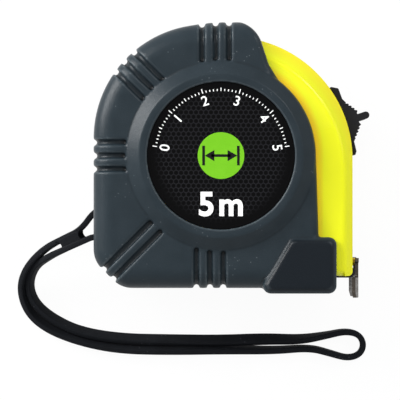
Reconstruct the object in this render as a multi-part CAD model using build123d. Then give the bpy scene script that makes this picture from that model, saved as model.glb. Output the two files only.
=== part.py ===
from build123d import *
import os
from math import acos, asin, atan2, cos, degrees, hypot, pi, radians, sin, sqrt, tan

# A 5 m tape measure with a rubber-jacketed case, a thumb lock on the nose and a wrist strap. Millimetres.
# The pieces are drawn about the case's parting plane: Z is the reel's axis, +X points to the mouth and
# +Y to the top. At the end they are raised so that the back of the case rests on Z = 0.

# Blade and reel
blade_length = 5000.0
blade_width = 19.0
blade_thickness = 0.15
blade_curve = 23.0            # radius of the cupped cross-section
flat_curve = 400.0            # the same where the blade leaves the coil, nearly flat
turn_pitch = 0.165            # one turn of the coil: steel and the air between
drum_radius = 18.5
drum_wall = 1.2
flange_thickness = 0.8
flange_lip = 0.3              # the flange stands this far past the full coil
blade_play = 0.3              # beside the blade, to each flange
reel_play = 0.6               # beside each flange, to the case
spigot_depth = 1.0
spigot_wall = 0.6

# Arbor and power spring
hub_radius = 5.0              # bearing boss that the flange turns on
hub_shoulder = 1.5
arbor_radius = 3.0
arbor_square = 4.2
arbor_reach = 4.0             # depth of the square end in its socket
spring_thickness = 0.3
spring_width = 16.0
spring_turns = 5

# Case
wall = 1.8
back_room = 1.65              # from the reel to the inside of the case: back, nose, top and base
nose_room = 5.8
top_room = 2.75
base_room = 2.9
nose_radius = 30.2
back_radius = 25.05
heel_radius = 8.0
tip_radius = 1.2
crease_step = 0.75            # the bevel's crease has a radius larger than the nose by this
bevel_front = 2.0
bevel_top = 2.7
crease_round = 2.0
boss_radius = 2.2             # screw bosses
boss_gap = 0.35
heel_boss_out = 4.0           # the heel's screw sits this much farther out than those at the top
upper_boss_angles = (137.0, 46.0)
heel_boss_angle = 228.0
nose_boss_rise = 9.6          # above the base

# Rubber jacket
jacket_rim = 3.05
jacket_side = 2.4
jacket_base = 3.0
rim_round = 5.0
heel_cut = 6.8
heel_round = 6.5
hump_rise = 0.5               # the top edge climbs by this towards the thumb lock
hump_slope = 9.0
hump_blend = 45.0
brow_x = (8.6, 11.75)         # the jacket's edge beside the yellow nose: its upper and its lower corner
brow_high = 2.8               # above the case's top
brow_low = 6.95               # below it
brow_slope = 12.0
brow_round = (8.2, 5.0)
cover_angle = 53.0            # here the jacket's edge comes onto the boss ring
cover_margin = 0.15           # jacket outside the foot of the boss ring
cover_round = 1.5
cover_flare = 0.65            # the edge moves out by this towards the toe
ring_foot = 23.2
ring_crest = 20.1
window_radius = 18.1
ring_rise = 2.6
groove_width = 1.4
groove_depth = 0.9
groove_pitch = 3.3
groove_groups = ((3, 90.0), (3, 135.6), (3, 180.0), (2, 225.0), (3, 270.0))  # grooves, and their bearing
groove_shifts = (1.3, 0.0, 0.0, 1.06, -2.7)  # each group beside the label's centre
toe_back = 4.1                # the toe block's front stands behind the mouth by this
toe_rise = 9.6                # its top above the case's base
toe_length = (11.35, 19.5)     # at its top and its foot
toe_drop = 1.25               # below the jacket's base
toe_proud = 1.0               # above the jacket's side
toe_round = 1.9
toe_bevel = 1.2

# Label
label_recess = 0.7
label_gap = 0.05
label_thickness = 0.3
window_gap = 0.15

# Screws
screw_radius = 1.1
screw_length = 17.0
head_radius = 1.95
head_height = 1.2
head_sink = 1.4
well_gap = 0.2

# Mouth, guide and hook
floor_gap = 0.6               # from the case's floor to the middle of the blade
mouth_height = 3.8
mouth_play = 0.7
level_run = 9.4               # the blade runs level for this far to the mouth
coil_gap = 0.2
bumper_length = 4.0
bumper_proud = 0.8
bumper_drop = 0.45
bumper_round = 1.6
guide_gap = 0.65              # above the hook's tongue
guide_width = 17.0
guide_top = 2.6               # height of the guide above its lower surface
tongue_width = 13.6
tongue_length = 9.2
hook_steel = 0.9
hook_drop = 7.9               # from the middle of the blade to the end of the lip
neck_width = 9.0
neck_drop = 2.9
lip_width = 16.0
lip_sweep = 0.9               # the lip's ends are bent back by this
lip_corner = 1.3
hook_play = 1.0               # the hook floats by its own thickness
rivet_radius = 0.85
rivet_head = 1.5
rivet_side = 3.5
rivet_in = 5.75               # from the hook's back face to the rivets
head_thickness = (0.45, 0.25)  # rivet heads above the tongue and under the blade

# Thumb lock, angles about the nose centre
lock_travel = 10.0
lock_spare = 1.0              # degrees past each end of the travel
slider_gap = 0.15
slider_width = 14.0
slider_span = (1.9, 35.6)
slider_skin = 0.6
slide_gap = 0.3               # between the case and the arm inside
neck_span = (14.0, 26.0)
neck_half = 2.8
arm_thickness = 1.3
arm_width = 10.0
arm_end = 27.0
pad_angle = 3.5
pad_width = 8.0
pad_gap = 0.2                 # over the blade when locked
brake_in = 6.0                # the pad presses on the blade this far inside the level run
tooth_count = 5
tooth_step = 1.35             # degrees
tooth_depth = 0.28
upper_angle, lower_angle = 26.6, 9.2  # of the first tooth above the lug and under it
upper_teeth = (1.7, 0.45)     # height above the nose, and climb from tooth to tooth
lower_teeth = (1.3, 0.5)
tail_heights = (1.9, 1.4, 0.9, 1.25)  # upper crest and dip, lower dip and crest
tail_angles = (33.2, 28.2, 8.2, 3.6)
lug_angle = 18.0
lug_height = 6.1
lug_width = 1.8

# Second stop in the base
stop_in = 2.9                 # from the toe's front to the button
stop_length = 11.0
stop_half = 5.5
stop_stroke = 1.6
stop_fit = 0.1
stop_lip = 0.65               # the button's flange, thickness and reach
stop_sunk = 0.65              # the button's face lies inside the toe's foot by this
stem_length = 4.4
stem_half = 3.6
stem_height = 1.45
pad_thickness = 0.6
coil_spring = (1.35, 0.3)     # radius and wire of the stop's return spring
coil_turns = 4
cup_wall = 0.6
cup_roof = 0.4

# Strap
post_rise = 12.95             # the strap's post above the case's base
post_radius = 2.4
post_socket = 0.9
strap_thickness = 1.5
strap_height = 3.0
strap_play = 0.5
strap_lift = 0.2              # keeps the twisted strap off the ground
strap_room = 3.2              # half of the free length of the post
bridge_length = 5.6
bridge_skin = 0.35
bridge_round = 0.6
bend_share = 0.45             # share of the shorter run that a bend may take

# Fits
press = 0.02
running = 0.05
seat = 0.05
corner_min = 0.3              # the smallest inside corner

coil_radius = sqrt(drum_radius ** 2 + blade_length * turn_pitch / pi)
flange_radius = coil_radius + flange_lip
coil_half = blade_width / 2 + blade_play
reel_half = coil_half + flange_thickness
cavity_half = reel_half + reel_play
case_half = cavity_half + wall
jacket_half = case_half + jacket_side
half = jacket_half + ring_rise
socket = coil_half - blade_play  # where the hub bosses end, and the arbor's square ends begin

case_left = -(flange_radius + back_room + wall)
case_right = flange_radius + nose_room + wall
case_top = flange_radius + top_room + wall
case_base = -(flange_radius + base_room + wall)
floor_y = case_base + wall
nose = Vector(case_right - nose_radius, case_top - nose_radius)
back = Vector(case_left + back_radius, case_top - back_radius)
jacket_foot = case_base - jacket_base
toe_foot = jacket_foot - toe_drop
toe_front = case_right - toe_back
toe_top = case_base + toe_rise
stop_x = (toe_front - stop_in - stop_length, toe_front - stop_in)
run_level_x = case_right - level_run
far = 2 * nose_radius         # well outside everything

BASE = (Align.CENTER, Align.CENTER, Align.MIN)


def disc(radius, low, high):
    return Pos(0, 0, low) * Cylinder(radius, high - low, align=BASE)


def block(x, y, z):
    size = [b - a for a, b in (x, y, z)]
    return Pos(x[0], y[0], z[0]) * Box(*size, align=(Align.MIN,) * 3)


def at_nose(radius, angle):
    return (nose.X + radius * cos(radians(angle)), nose.Y + radius * sin(radians(angle)))


def nose_sector(inner, outer, start, end, width):
    """A piece of a ring about the nose centre, centred on the parting plane."""
    face = make_face([
        CenterArc((nose.X, nose.Y), inner, start, end - start),
        CenterArc((nose.X, nose.Y), outer, start, end - start),
        Line(at_nose(inner, start), at_nose(outer, start)),
        Line(at_nose(inner, end), at_nose(outer, end)),
    ])
    return extrude(face, width / 2, both=True)


def case_face(inset):
    """The case's side outline, drawn in by an inset."""
    left, right = case_left + inset, case_right - inset
    top, base = case_top - inset, case_base + inset
    heel, tip = heel_radius - inset, max(tip_radius - inset, corner_min)
    return make_face([
        CenterArc((nose.X, nose.Y), nose_radius - inset, 0, 90),
        Line((nose.X, top), (back.X, top)),
        CenterArc((back.X, back.Y), back_radius - inset, 90, 90),
        Line((left, back.Y), (left, base + heel)),
        CenterArc((left + heel, base + heel), heel, 180, 90),
        Line((left + heel, base), (right - tip, base)),
        CenterArc((right - tip, base + tip), tip, 270, 90),
        Line((right, base + tip), (right, nose.Y)),
    ])


# The case's solid half: the outline, its bevel that widens towards the top, and the label's platform
crease = nose_radius + crease_step
crease_mid = Vector(case_right - bevel_front - crease, case_top - bevel_top - crease)


def bevel_block(inset, top):
    """All that lies under the bevel, its crease drawn in by an inset at the block's top."""
    right, high = crease_mid.X + crease - inset, crease_mid.Y + crease - inset
    face = make_face([
        CenterArc((crease_mid.X, crease_mid.Y), crease - inset, 0, 90),
        Polyline((crease_mid.X, high), (-far, high), (-far, -far), (right, -far), (right, crease_mid.Y)),
    ])
    return extrude(Pos(0, 0, top) * face, top, dir=(0, 0, -1), taper=-45)


platform_radius = window_radius - window_gap
platform_top = half - label_recess - label_thickness
platform_inside = platform_top - wall
case_solid = extrude(case_face(0), case_half) & bevel_block(0, case_half)
case_solid = fillet(case_solid.faces().sort_by(Axis.Z)[-1].edges(), crease_round)
case_solid += disc(platform_radius, 0, platform_top)
cavity = extrude(case_face(wall), cavity_half) & bevel_block((sqrt(2) - 1) * wall, cavity_half)
cavity += disc(platform_radius - wall, 0, platform_inside)
bare_half = case_solid - cavity
rear_platform = disc(platform_radius, platform_top, half)
filled = case_solid + mirror(case_solid, Plane.XY)

# Screw bosses
upper_reach = flange_radius + boss_gap + boss_radius
heel_reach = upper_reach + heel_boss_out
boss_points = [(upper_reach * cos(radians(a)), upper_reach * sin(radians(a))) for a in upper_boss_angles]
boss_points.append((heel_reach * cos(radians(heel_boss_angle)), heel_reach * sin(radians(heel_boss_angle))))
boss_points.append((case_right - wall - boss_radius - boss_gap, case_base + nose_boss_rise))

# Blade line: a tangent from the coil, then level to the mouth
blade_y = floor_y + floor_gap
run_radius = coil_radius + coil_gap + blade_thickness / 2
leave_angle = atan2(blade_y, run_level_x) - acos(run_radius / hypot(run_level_x, blade_y))
leave = Vector(run_radius * cos(leave_angle), run_radius * sin(leave_angle))
run_slope = (blade_y - leave.Y) / (run_level_x - leave.X)
bumper_front = case_right + bumper_proud
hook_back = bumper_front + seat
rivet_x = hook_back - rivet_in
tongue_top = blade_thickness / 2 + press + hook_steel
mouth_half = blade_width / 2 + mouth_play
guide_low = blade_y + tongue_top + guide_gap
guide_x = (run_level_x, case_right - wall - seat)

# Second stop
flange_y = (case_base - stop_stroke - stop_lip, case_base - stop_stroke)
pocket_y = flange_y[0] - seat
stem_x = (stop_x[1] - stop_fit - stem_length, stop_x[1] - stop_fit)
stem_y = flange_y[1] + stem_height
spring_x = (stop_x[0] + stem_x[0]) / 2
cup_radius = coil_spring[0] + coil_spring[1] + stop_fit + cup_wall
cup_inside = floor_y + coil_spring[1] + stop_fit


def half_details(piece, side):
    """Bosses, bearings and openings that both halves share; side is +1 in front and -1 at the rear."""
    def deep(face, low, high):
        return extrude(Pos(0, 0, side * low) * face, side * (high - low))
    hub = deep(Circle(hub_radius), socket, platform_inside)
    hub += deep(Circle(hub_radius + hub_shoulder), reel_half + reel_play / 2, platform_inside)
    socket_face = Rectangle(arbor_square + 2 * press, arbor_square + 2 * press)
    piece += hub - deep(socket_face, 0, socket + arbor_reach)
    for point in boss_points:
        piece += deep(Pos(*point) * Circle(boss_radius), 0, cavity_half) & filled
    post = Pos(*post_at) * Circle(post_radius + post_socket)
    piece += deep(post - Pos(*post_at) * Circle(post_radius + press), strap_room, cavity_half)
    rib_y = (guide_low + guide_top / 2, guide_low + guide_top)
    rib = block(guide_x, rib_y, sorted((side * guide_width / 2, side * cavity_half)))
    cup_at = Pos(spring_x, case_base, 0) * Rot(-90, 0, 0)
    cup = cup_at * disc(cup_radius, 0, cup_inside + cup_roof - case_base)
    bore = cup_at * disc(cup_radius - cup_wall, 0, cup_inside - case_base)
    room = block((-far, far), (-far, far), sorted((0, side * far)))
    piece += rib + (cup & room)
    openings = bore + strap_window + lock_slot + mouth + bumper_bed
    openings += block((stem_x[0] - stop_fit, stem_x[1] + stop_fit), (case_base, floor_y),
                      (-stem_half - stop_fit, stem_half + stop_fit))
    return piece - openings


strap_half = strap_thickness / 2
fork = post_radius + press + strap_half
post_x = case_left + wall + post_radius + seat
post_y = case_base + post_rise
post_at = (post_x, post_y)
window_reach = fork + strap_half + strap_play
strap_window = block((-far, post_x), (post_y - window_reach, post_y + window_reach),
                     (-strap_height / 2 - strap_play, strap_height / 2 + strap_play))
lock_slot = nose_sector(nose_radius - wall - slide_gap, nose_radius + wall,
                        neck_span[0] - lock_travel - lock_spare, neck_span[1] + lock_spare,
                        2 * (neck_half + slide_gap))
mouth = block((case_right - 2 * wall, far), (floor_y, floor_y + mouth_height), (-mouth_half, mouth_half))
bumper_bed = block((case_right - bumper_length, far), (-far, floor_y), (-mouth_half, mouth_half))

front_case = half_details(bare_half, 1)
rear_case = half_details(mirror(bare_half + rear_platform, Plane.XY), -1)
screw_seat = -case_half + head_sink
screws = []
for point in boss_points:
    front_case -= Pos(*point) * disc(screw_radius + press, 0, screw_length + screw_seat)
    rear_case -= Pos(*point) * (disc(screw_radius + well_gap, -case_half, 0)
                                + disc(head_radius + well_gap, -case_half, screw_seat))
    screw = disc(screw_radius, screw_seat, screw_seat + screw_length - press)
    screw += disc(head_radius, screw_seat - head_height, screw_seat)
    screw -= Pos(0, 0, screw_seat - head_height) * Box(2 * screw_radius, screw_radius / 2, screw_radius)
    screw -= Pos(0, 0, screw_seat - head_height) * Box(screw_radius / 2, 2 * screw_radius, screw_radius)
    screws.append(Pos(*point) * screw)
case_screws = Compound(children=screws)


# Rubber jacket
def dome(inset):
    """The jacket's rounded body, sunk by an inset; it runs on past the jacket's edge to the right."""
    radius = back_radius + jacket_rim - inset
    left, base = case_left - jacket_rim + inset, jacket_foot + inset
    top = case_top + jacket_rim + hump_rise - inset
    cut = heel_cut - (2 - sqrt(2)) * inset
    rise = radians(hump_slope)
    start = Vector(back.X - radius * sin(rise), back.Y + radius * cos(rise))
    crown = start.X + (top - start.Y) / tan(rise)
    line = FilletPolyline(
        (left, back.Y), (left, base + cut), (left + cut, base), (far, base), (far, top), (crown, top),
        (start.X, start.Y),
        radius=[heel_round - inset, heel_round - inset, heel_round, heel_round, hump_blend])
    arc = CenterArc((back.X, back.Y), radius, 90 + hump_slope, 90 - hump_slope)
    body = extrude(make_face([line, arc]), jacket_half - inset)
    return fillet(body.faces().sort_by(Axis.Z)[-1].edges(), rim_round - inset)


cover_radius = ring_foot + cover_margin
cover_point = (cover_radius * cos(radians(cover_angle)), cover_radius * sin(radians(cover_angle)))
brow_start = (-far, case_top + brow_high + (brow_x[0] + far) * tan(radians(brow_slope)))
cover_face = make_face([
    FilletPolyline(brow_start, (brow_x[0], case_top + brow_high), (brow_x[1], case_top - brow_low),
                   cover_point, radius=brow_round),
    CenterArc((0, 0), cover_radius, 0, cover_angle),
    Polyline((cover_radius, 0), (cover_radius + cover_flare, toe_top), (cover_radius + cover_flare, -far),
             (-far, -far), brow_start),
])
ring = Pos(0, 0, jacket_half) * Cone(ring_foot, ring_crest, ring_rise, align=BASE)
ring += disc(ring_foot, 0, jacket_half)
toe_line = FilletPolyline((toe_front - toe_length[0], toe_top), (toe_front, toe_top), (toe_front, toe_foot),
                          (toe_front - toe_length[1], toe_foot), radius=toe_round, close=True)
toe = extrude(make_face(toe_line), jacket_half + toe_proud)
toe = chamfer(toe.faces().sort_by(Axis.Z)[-1].edges(), toe_bevel)


def groove_group(count, shift):
    """Parallel bars that run out from the label's centre along X."""
    first = shift - (count - 1) / 2 * groove_pitch
    return [Pos(far / 2, first + i * groove_pitch) * Rectangle(far, groove_width) for i in range(count)]


grooves = Part()
for (count, bearing), shift in zip(groove_groups, groove_shifts):
    grooves += extrude(Rot(0, 0, bearing) * Sketch(children=groove_group(count, shift)), half)
grooves = grooves - dome(groove_depth) - disc(cover_radius, 0, half)

cover = dome(0) & extrude(cover_face, half)
cover_line = cover_face.wire()
edge_line = [edge for edge in cover.edges() if abs((edge % 0.5).Z) < 1 - press and (edge @ 0.5).Z > press
             and cover_line.distance_to(Vertex((edge @ 0.5).X, (edge @ 0.5).Y, 0)) < press]
jacket = fillet(edge_line, cover_round) + ring - grooves + toe
jacket -= case_solid + disc(window_radius, 0, half) + strap_window
stop_window = block((stop_x[0], stop_x[1]), (-far, case_base), (-stop_half, stop_half))
stop_pocket = block((stop_x[0] - stop_lip, stop_x[1] + stop_lip), (pocket_y, case_base),
                    (-stop_half - stop_lip, stop_half + stop_lip))
front_jacket = jacket - stop_window - stop_pocket
rear_jacket = mirror(front_jacket, Plane.XY)
for point in boss_points:
    rear_jacket -= Pos(*point) * disc(head_radius + well_gap, -half, -case_half)

front_label = disc(window_radius - label_gap, platform_top, platform_top + label_thickness)

# Arbor and its spring
arbor_post = disc(arbor_radius, -socket, socket)
arbor_end = socket + arbor_reach - seat
arbor_post += Box(arbor_square, arbor_square, 2 * arbor_end)
arbor_post -= block((0, far), (-spring_thickness / 2 - press, spring_thickness / 2 + press),
                    (-spring_width / 2 - seat, spring_width / 2 + seat))

drum_inside = drum_radius - drum_wall
spring_first = arbor_radius + 2 * spring_thickness
spring_last = drum_inside - running - spring_thickness / 2
step = (spring_last - spring_first) / (2 * spring_turns)
edges = []
for turn in range(2 * spring_turns + 1):
    for side in (-1, 1):
        radius = spring_first + turn * step + side * spring_thickness / 2
        edges.append(CenterArc(((turn % 2) * step, 0), radius, 180 * (turn % 2), 180))
edges.append(Line((spring_first - spring_thickness / 2, 0), (spring_first + spring_thickness / 2, 0)))
edges.append(Line((-spring_last - spring_thickness / 2, 0), (-spring_last + spring_thickness / 2, 0)))
spiral = extrude(make_face(edges), spring_width / 2, both=True)
tail = block((arbor_radius / 3, spring_first + spring_thickness / 2),
             (-spring_thickness / 2, spring_thickness / 2), (-spring_width / 2, spring_width / 2))
power_spring = spiral + tail

# Reel
bearing = hub_radius + running
reel_drum = disc(drum_radius, -coil_half, coil_half) - disc(drum_inside, -coil_half, coil_half)
reel_drum += disc(flange_radius, -reel_half, -coil_half) - disc(bearing, -reel_half, -coil_half)
spigot = drum_inside - press
reel_cover = disc(flange_radius, coil_half, reel_half) - disc(bearing, coil_half, reel_half)
reel_cover += disc(spigot, coil_half - spigot_depth, coil_half) - disc(spigot - spigot_wall, -half, half)
blade_coil = disc(coil_radius, -blade_width / 2, blade_width / 2) - disc(drum_radius, -half, half)


# Straight blade: nearly flat at the coil, cupped at the mouth
def cupped(curve, width, low, high):
    """A band about the cup's axis, between two heights over the middle of the blade."""
    bend = degrees(width / 2 / curve)
    arcs = [CenterArc((0, curve), curve - level, 270 - bend, 2 * bend) for level in (low, high)]
    ends = [Line(arcs[0] @ end, arcs[1] @ end) for end in (0, 1)]
    return make_face(arcs + ends)


def across(x, y, slope=0):
    """A plane square to the blade's run, with its Y upwards."""
    return Plane(origin=(x, y, 0), x_dir=(0, 0, -1), z_dir=(1, slope, 0))


skin = blade_thickness / 2
level_start = across(run_level_x, blade_y)
leave_face = across(leave.X, leave.Y, run_slope) * cupped(flat_curve, blade_width, -skin, skin)
mouth_face = level_start * cupped(blade_curve, blade_width, -skin, skin)
blade_run = loft([leave_face, mouth_face]) + extrude(mouth_face, hook_back - seat - run_level_x)


def on_blade(face, low, high):
    """A face raised into two pins that stand square on the cupped blade, from one height to another."""
    pin = extrude(Pos(0, 0, low - blade_curve) * face, high - low)
    lean = degrees(rivet_side / blade_curve)
    axis = Pos(rivet_x, blade_y + blade_curve, 0)
    return axis * Rot(-90 - lean, 0, 0) * pin + axis * Rot(lean - 90, 0, 0) * pin


shank, shank_hole = Circle(rivet_radius), Circle(rivet_radius + press)
blade_run -= on_blade(shank_hole, -hook_steel, hook_steel)
head_low = tongue_top + rivet_head ** 2 / blade_curve / 2
hook_rivets = on_blade(shank, -skin, head_low)
hook_rivets += on_blade(Circle(rivet_head), head_low, head_low + head_thickness[0])
hook_rivets += on_blade(Circle(rivet_head), -skin - head_thickness[1], -skin)

# Hook: a cupped tongue on the blade, a flat face and a lip whose ends are bent back under the case
tongue = cupped(blade_curve, tongue_width, skin + press, tongue_top)
hook_front = hook_back + hook_steel
tongue_x = hook_back - tongue_length
end_hook = extrude(across(tongue_x, blade_y) * tongue, hook_front - tongue_x)
float_slot = Pos(-hook_play / 2, 0) * SlotCenterToCenter(hook_play, 2 * (rivet_radius + press))
end_hook -= on_blade(float_slot, 0, tongue_top + hook_steel)
lip_y = (blade_y - hook_drop, blade_y - neck_drop)
end_hook += block((hook_back, hook_front), (lip_y[0], blade_y + tongue_top),
                  (-neck_width / 2, neck_width / 2))
lip_plan = make_face(Polyline(
    (hook_front, -neck_width / 2), (hook_front, neck_width / 2), (hook_front - lip_sweep, lip_width / 2),
    (hook_back - lip_sweep, lip_width / 2), (hook_back, neck_width / 2), (hook_back, -neck_width / 2),
    (hook_back - lip_sweep, -lip_width / 2), (hook_front - lip_sweep, -lip_width / 2), close=True))
lip_top = Plane(origin=(0, lip_y[1], 0), x_dir=(1, 0, 0), z_dir=(0, -1, 0))
lip = extrude(lip_top * lip_plan, lip_y[1] - lip_y[0])
lip_front = make_face(Polyline(
    (lip_width / 2, 0), (lip_width / 2, lip_corner + lip_y[0] - lip_y[1]),
    (lip_width / 2 - lip_corner, lip_y[0] - lip_y[1]), (lip_corner - lip_width / 2, lip_y[0] - lip_y[1]),
    (-lip_width / 2, lip_corner + lip_y[0] - lip_y[1]), (-lip_width / 2, 0), close=True))
end_hook += lip & extrude(across(0, lip_y[1]) * lip_front, far)

# Mouth pieces
bumper_back, bumper_low = case_right - bumper_length + seat, case_base - bumper_drop
bumper_face = FilletPolyline((bumper_back, floor_y - seat), (bumper_front, floor_y - seat),
                             (bumper_front, bumper_low), (bumper_back, bumper_low),
                             radius=[0, bumper_round / 4, bumper_round, 0], close=True)
mouth_bumper = extrude(make_face(bumper_face), mouth_half - seat, both=True)
guide = Pos((guide_x[0] + guide_x[1]) / 2, blade_y + blade_curve) * Rot(0, 90, 0) * Cylinder(
    blade_curve - tongue_top - guide_gap, guide_x[1] - guide_x[0])
blade_guide = guide & block(guide_x, (guide_low, guide_low + guide_top),
                            (-guide_width / 2, guide_width / 2))

# Thumb lock
arm_outer = nose_radius - wall - slide_gap
arm_inner = arm_outer - arm_thickness
brake_x = run_level_x - brake_in
blade_here = leave.Y + run_slope * (brake_x - leave.X)
cup_here = (pad_width / 2) ** 2 / blade_curve / 2
brake = Vector(brake_x, blade_here + skin + cup_here + pad_gap) - nose
tip_rest = degrees(atan2(brake.Y, brake.X)) + lock_travel
lock_arm = nose_sector(arm_inner, arm_outer, tip_rest + pad_angle, arm_end, arm_width)
brake_pad = nose_sector(arm_inner, brake.length, tip_rest, tip_rest + pad_angle, pad_width)

slider_inner = nose_radius + slider_gap


def over_nose(height, angle):
    return at_nose(nose_radius + height, angle)


def teeth(angle, rises, direction):
    """Blunt teeth on one flank of the slider, from the outer end to the lug."""
    points = []
    for i in range(tooth_count):
        height, start = rises[0] + i * rises[1], angle + direction * i * tooth_step
        points.append(over_nose(height, start))
        points.append(over_nose(height + rises[1] / 3, start + direction * tooth_step / 3))
        points.append(over_nose(height + rises[1] / 3 - tooth_depth, start + direction * tooth_step * 2 / 3))
    return points


# Under the travel's angle the slider's inner side is flat: turned down, it lies along the straight front
tail_inner = slider_inner / cos(radians(lock_travel - slider_span[0]))
tails = [over_nose(height, angle) for height, angle in zip(tail_heights, tail_angles)]
slider_line = Polyline(
    at_nose(slider_inner, slider_span[1]), over_nose(slider_skin, slider_span[1]), tails[0], tails[1],
    *teeth(upper_angle, upper_teeth, -1), over_nose(lug_height / 2, lug_angle),
    *reversed(teeth(lower_angle, lower_teeth, 1)), tails[2], tails[3],
    at_nose(tail_inner + slider_skin - slider_gap, slider_span[0]), at_nose(tail_inner, slider_span[0]),
    at_nose(slider_inner, lock_travel))
slider_face = make_face([slider_line, CenterArc((nose.X, nose.Y), slider_inner, lock_travel,
                                                slider_span[1] - lock_travel)])
slider_face += Pos(*at_nose(nose_radius + lug_height / 2, lug_angle)) * Rot(0, 0, lug_angle) * SlotOverall(
    lug_height, lug_width)
lock_slider = extrude(slider_face, slider_width / 2, both=True)
lock_slider += nose_sector(arm_outer, slider_inner + slider_skin / 2, neck_span[0], neck_span[1],
                           2 * neck_half)

# Second stop
stop_button = block((stop_x[0] + stop_fit, stop_x[1] - stop_fit), (toe_foot + stop_sunk, flange_y[1]),
                    (-stop_half + stop_fit, stop_half - stop_fit))
stop_button += block((stop_x[0] - stop_lip + stop_fit, stop_x[1] + stop_lip - stop_fit), flange_y,
                     (-stop_half - stop_lip + stop_fit, stop_half + stop_lip - stop_fit))
stop_button += block(stem_x, (flange_y[0], stem_y), (-stem_half, stem_half))
stop_pad = block(stem_x, (stem_y, stem_y + pad_thickness), (-stem_half, stem_half))
coil_height = cup_inside - flange_y[1] - coil_spring[1]
coil_line = Helix(coil_height / coil_turns, coil_height, coil_spring[0], center=(
    spring_x, flange_y[1] + coil_spring[1] / 2, 0), direction=(0, 1, 0))
wire = Plane(origin=coil_line @ 0, z_dir=coil_line % 0) * Rectangle(coil_spring[1], coil_spring[1])
stop_spring = sweep(wire, coil_line, is_frenet=True)

# Strap: round the post, out of the case, down to the ground and round the wrist end
strap_post = Pos(*post_at) * disc(post_radius, -cavity_half, cavity_half)
ground = strap_height / 2 + strap_lift - half
outward = [(-34.2, -17.1, -0.7), (-38.8, -20.3, -3.4), (-44.5, -23.6, -7.4), (-49.0, -28.1, -11.8),
           (-50.7, -33.3, -15.2), (-49.0, -39.2, ground), (-44.2, -43.5, ground), (-35.7, -46.8, ground),
           (-25.5, -48.8, ground), (-12.8, -49.1, ground), (1.2, -49.0, ground)]
end_loop = [(14.0, -49.2, ground), (22.9, -48.5, ground), (28.3, -50.0, ground), (32.4, -51.2, ground),
            (35.6, -50.3, ground), (36.7, -47.7, ground), (35.4, -45.1, ground), (31.9, -44.3, ground)]
homeward = [(27.3, -45.3, ground), (20.4, -46.5, ground), (11.5, -46.3, ground), (0.0, -46.8, ground),
            (-12.8, -46.6, ground), (-25.0, -46.3, ground), (-35.2, -44.7, ground), (-41.9, -41.7, ground),
            (-47.0, -37.7, ground), (-48.9, -32.8, -15.2), (-47.2, -28.1, -11.8), (-43.0, -25.3, -7.4),
            (-38.8, -22.9, -3.4), (-34.4, -20.0, -0.7)]
joint_at = (Vector(*outward[-1]) + Vector(*end_loop[0])) / 2
strap_bends = []


def strand(side, points):
    """One strand of the strap, from behind the post to where the two are joined."""
    corner, leave_x = post_x + fork, case_left - jacket_rim
    turn_y = post_y + side * fork
    route = [Vector(corner, post_y), Vector(corner, turn_y), Vector(leave_x, turn_y)]
    route += [Vector(*point) for point in points] + [joint_at]
    radii = []
    for before, here, after in zip(route, route[1:], route[2:]):
        turn = radians((here - before).get_angle(after - here))
        radii.append(bend_share * min((here - before).length, (after - here).length) / tan(turn / 2))
    radii[0] = fork - seat
    strap_bends.extend(radii)
    line = FilletPolyline(*route, radius=radii)
    start = Plane(origin=line @ 0, x_dir=(1, 0, 0), z_dir=line % 0)
    return sweep(start * Rectangle(strap_thickness, strap_height), line), line.length


outer_strand, outer_length = strand(1, outward)
inner_strand, inner_length = strand(-1, list(reversed(end_loop + homeward)))
wrist_strap = outer_strand + inner_strand
print("strap bends, mm:", " ".join(f"{r:.1f}" for r in strap_bends))
print(f"strap length, mm: {outer_length + inner_length:.1f}")

# The bridge stands over both strands where they meet outside the case
first, second = outward[1], homeward[-2]
along = Vector(*outward[1]) - Vector(*outward[0])
bridge_mid = [(a + b) / 2 for a, b in zip(first, second)]
bridge_width = hypot(first[0] - second[0], first[1] - second[1]) + strap_thickness + 2 * bridge_skin
bridge_plane = Plane(origin=bridge_mid, x_dir=along, z_dir=(-along.Z * along.X, -along.Z * along.Y,
                                                            along.X ** 2 + along.Y ** 2))
bridge = Box(bridge_length, bridge_width, strap_height + 2 * bridge_skin)
strap_bridge = bridge_plane * fillet(bridge.edges(), bridge_round) - wrist_strap

nodes = {
    "front_case": front_case, "rear_case": rear_case, "front_jacket": front_jacket,
    "rear_jacket": rear_jacket, "front_label": front_label, "case_screws": case_screws,
    "arbor_post": arbor_post, "power_spring": power_spring, "reel_drum": reel_drum,
    "reel_cover": reel_cover, "blade_coil": blade_coil, "blade_run": blade_run, "end_hook": end_hook,
    "hook_rivets": hook_rivets, "mouth_bumper": mouth_bumper, "blade_guide": blade_guide,
    "lock_slider": lock_slider, "lock_arm": lock_arm, "brake_pad": brake_pad,
    "stop_button": stop_button, "stop_pad": stop_pad, "stop_spring": stop_spring,
    "strap_post": strap_post, "wrist_strap": wrist_strap, "strap_bridge": strap_bridge,
}
os.makedirs("parts", exist_ok=True)
for name, shape in nodes.items():
    export_step(Pos(0, 0, half) * shape, f"parts/{name}.step")
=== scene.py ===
from math import cos, pi, radians, sin, sqrt

import bmesh
import bpy
import numpy as np
from mathutils import Matrix, Vector


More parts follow.
